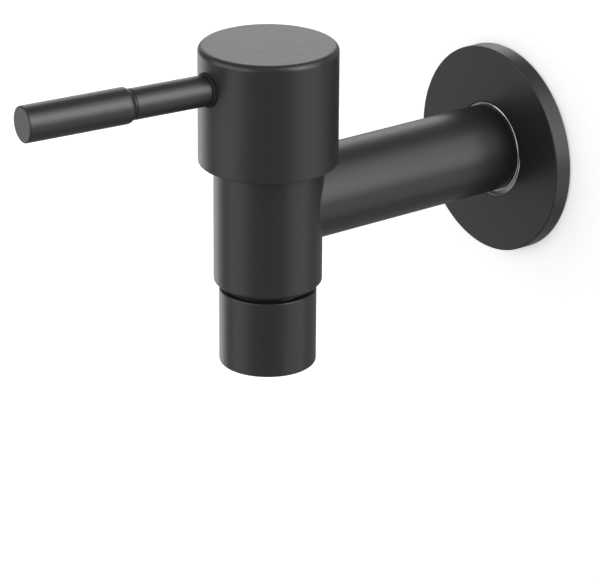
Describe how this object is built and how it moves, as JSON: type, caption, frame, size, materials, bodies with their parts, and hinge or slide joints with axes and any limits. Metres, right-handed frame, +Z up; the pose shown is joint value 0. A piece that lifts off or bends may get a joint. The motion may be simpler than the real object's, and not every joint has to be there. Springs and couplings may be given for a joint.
{
  "type": "wall tap",
  "caption": "Matt black wall tap: round flange, straight pipe, upright barrel with a quarter-turn cartridge under a side-lever cap, and a screwed collar that holds the aerator.",
  "frame": {"origin": "on the inlet's axis in the plane of the wall, where the inlet thread begins", "axes": "+Z up along the barrel, +Y into the wall along the inlet's axis, so the tap stands out towards -Y; +X is to the right of a person who faces the wall"},
  "size_m": [0.06, 0.1728, 0.0922],
  "materials": {
    "black_coating": "matt black powder coating on stainless steel, fine and slightly satin",
    "bare_steel": "turned stainless steel left bare",
    "screw_steel": "blackened steel set screw",
    "brass": "turned brass",
    "disc_ceramic": "lapped alumina",
    "seal_rubber": "black nitrile rubber",
    "washer_fibre": "vulcanised fibre",
    "aerator_plastic": "moulded acetal, light grey"
  },
  "bodies": {
    "tap": {"barrel": "black_coating", "inlet_pipe": "black_coating", "inlet_nipple": "bare_steel", "outlet_bush": "black_coating", "bush_seal": "seal_rubber", "cartridge_housing": "brass", "bonnet_washer": "washer_fibre", "fixed_disc": "disc_ceramic", "disc_seal": "seal_rubber"},
    "flange": {"wall_flange": "black_coating"},
    "handle": {"handle_cap": "black_coating", "spline_insert": "brass", "grub_screw": "screw_steel", "lever": "black_coating", "lever_ring": "seal_rubber", "cartridge_stem": "brass", "stem_o_rings": "seal_rubber", "glide_ring": "aerator_plastic", "stem_circlip": "bare_steel", "moving_disc": "disc_ceramic"},
    "aerator": {"aerator_washer": "seal_rubber", "aerator_cage": "aerator_plastic", "inlet_strainer": "bare_steel", "flow_disc": "aerator_plastic", "mesh_screens": "bare_steel", "outlet_grid": "aerator_plastic"},
    "collar": {"outlet_collar": "black_coating"}
  },
  "joints": [
    {"name": "handle_turn", "type": "hinge", "parent": "tap", "child": "handle", "pos_m": [0, -0.0835, 0], "axis": [0, 0, 1], "range_deg": [-84, 6]},
    {"name": "flange_slide", "type": "slide", "parent": "tap", "child": "flange", "axis": [0, -1, 0], "range_m": [0, 0.058]},
    {"name": "collar_turn", "type": "hinge", "parent": "aerator", "child": "collar", "pos_m": [0, -0.0835, 0], "axis": [0, 0, -1], "range_deg": [0, 2160]},
    {"name": "aerator_drop", "type": "slide", "parent": "tap", "child": "aerator", "axis": [0, 0, -1], "range_m": [0, 0.00605]}
  ],
  "couplings": [
    {"joint": "aerator_drop", "follows": "collar_turn", "m_per_rad": 0.00015915}
  ]
}
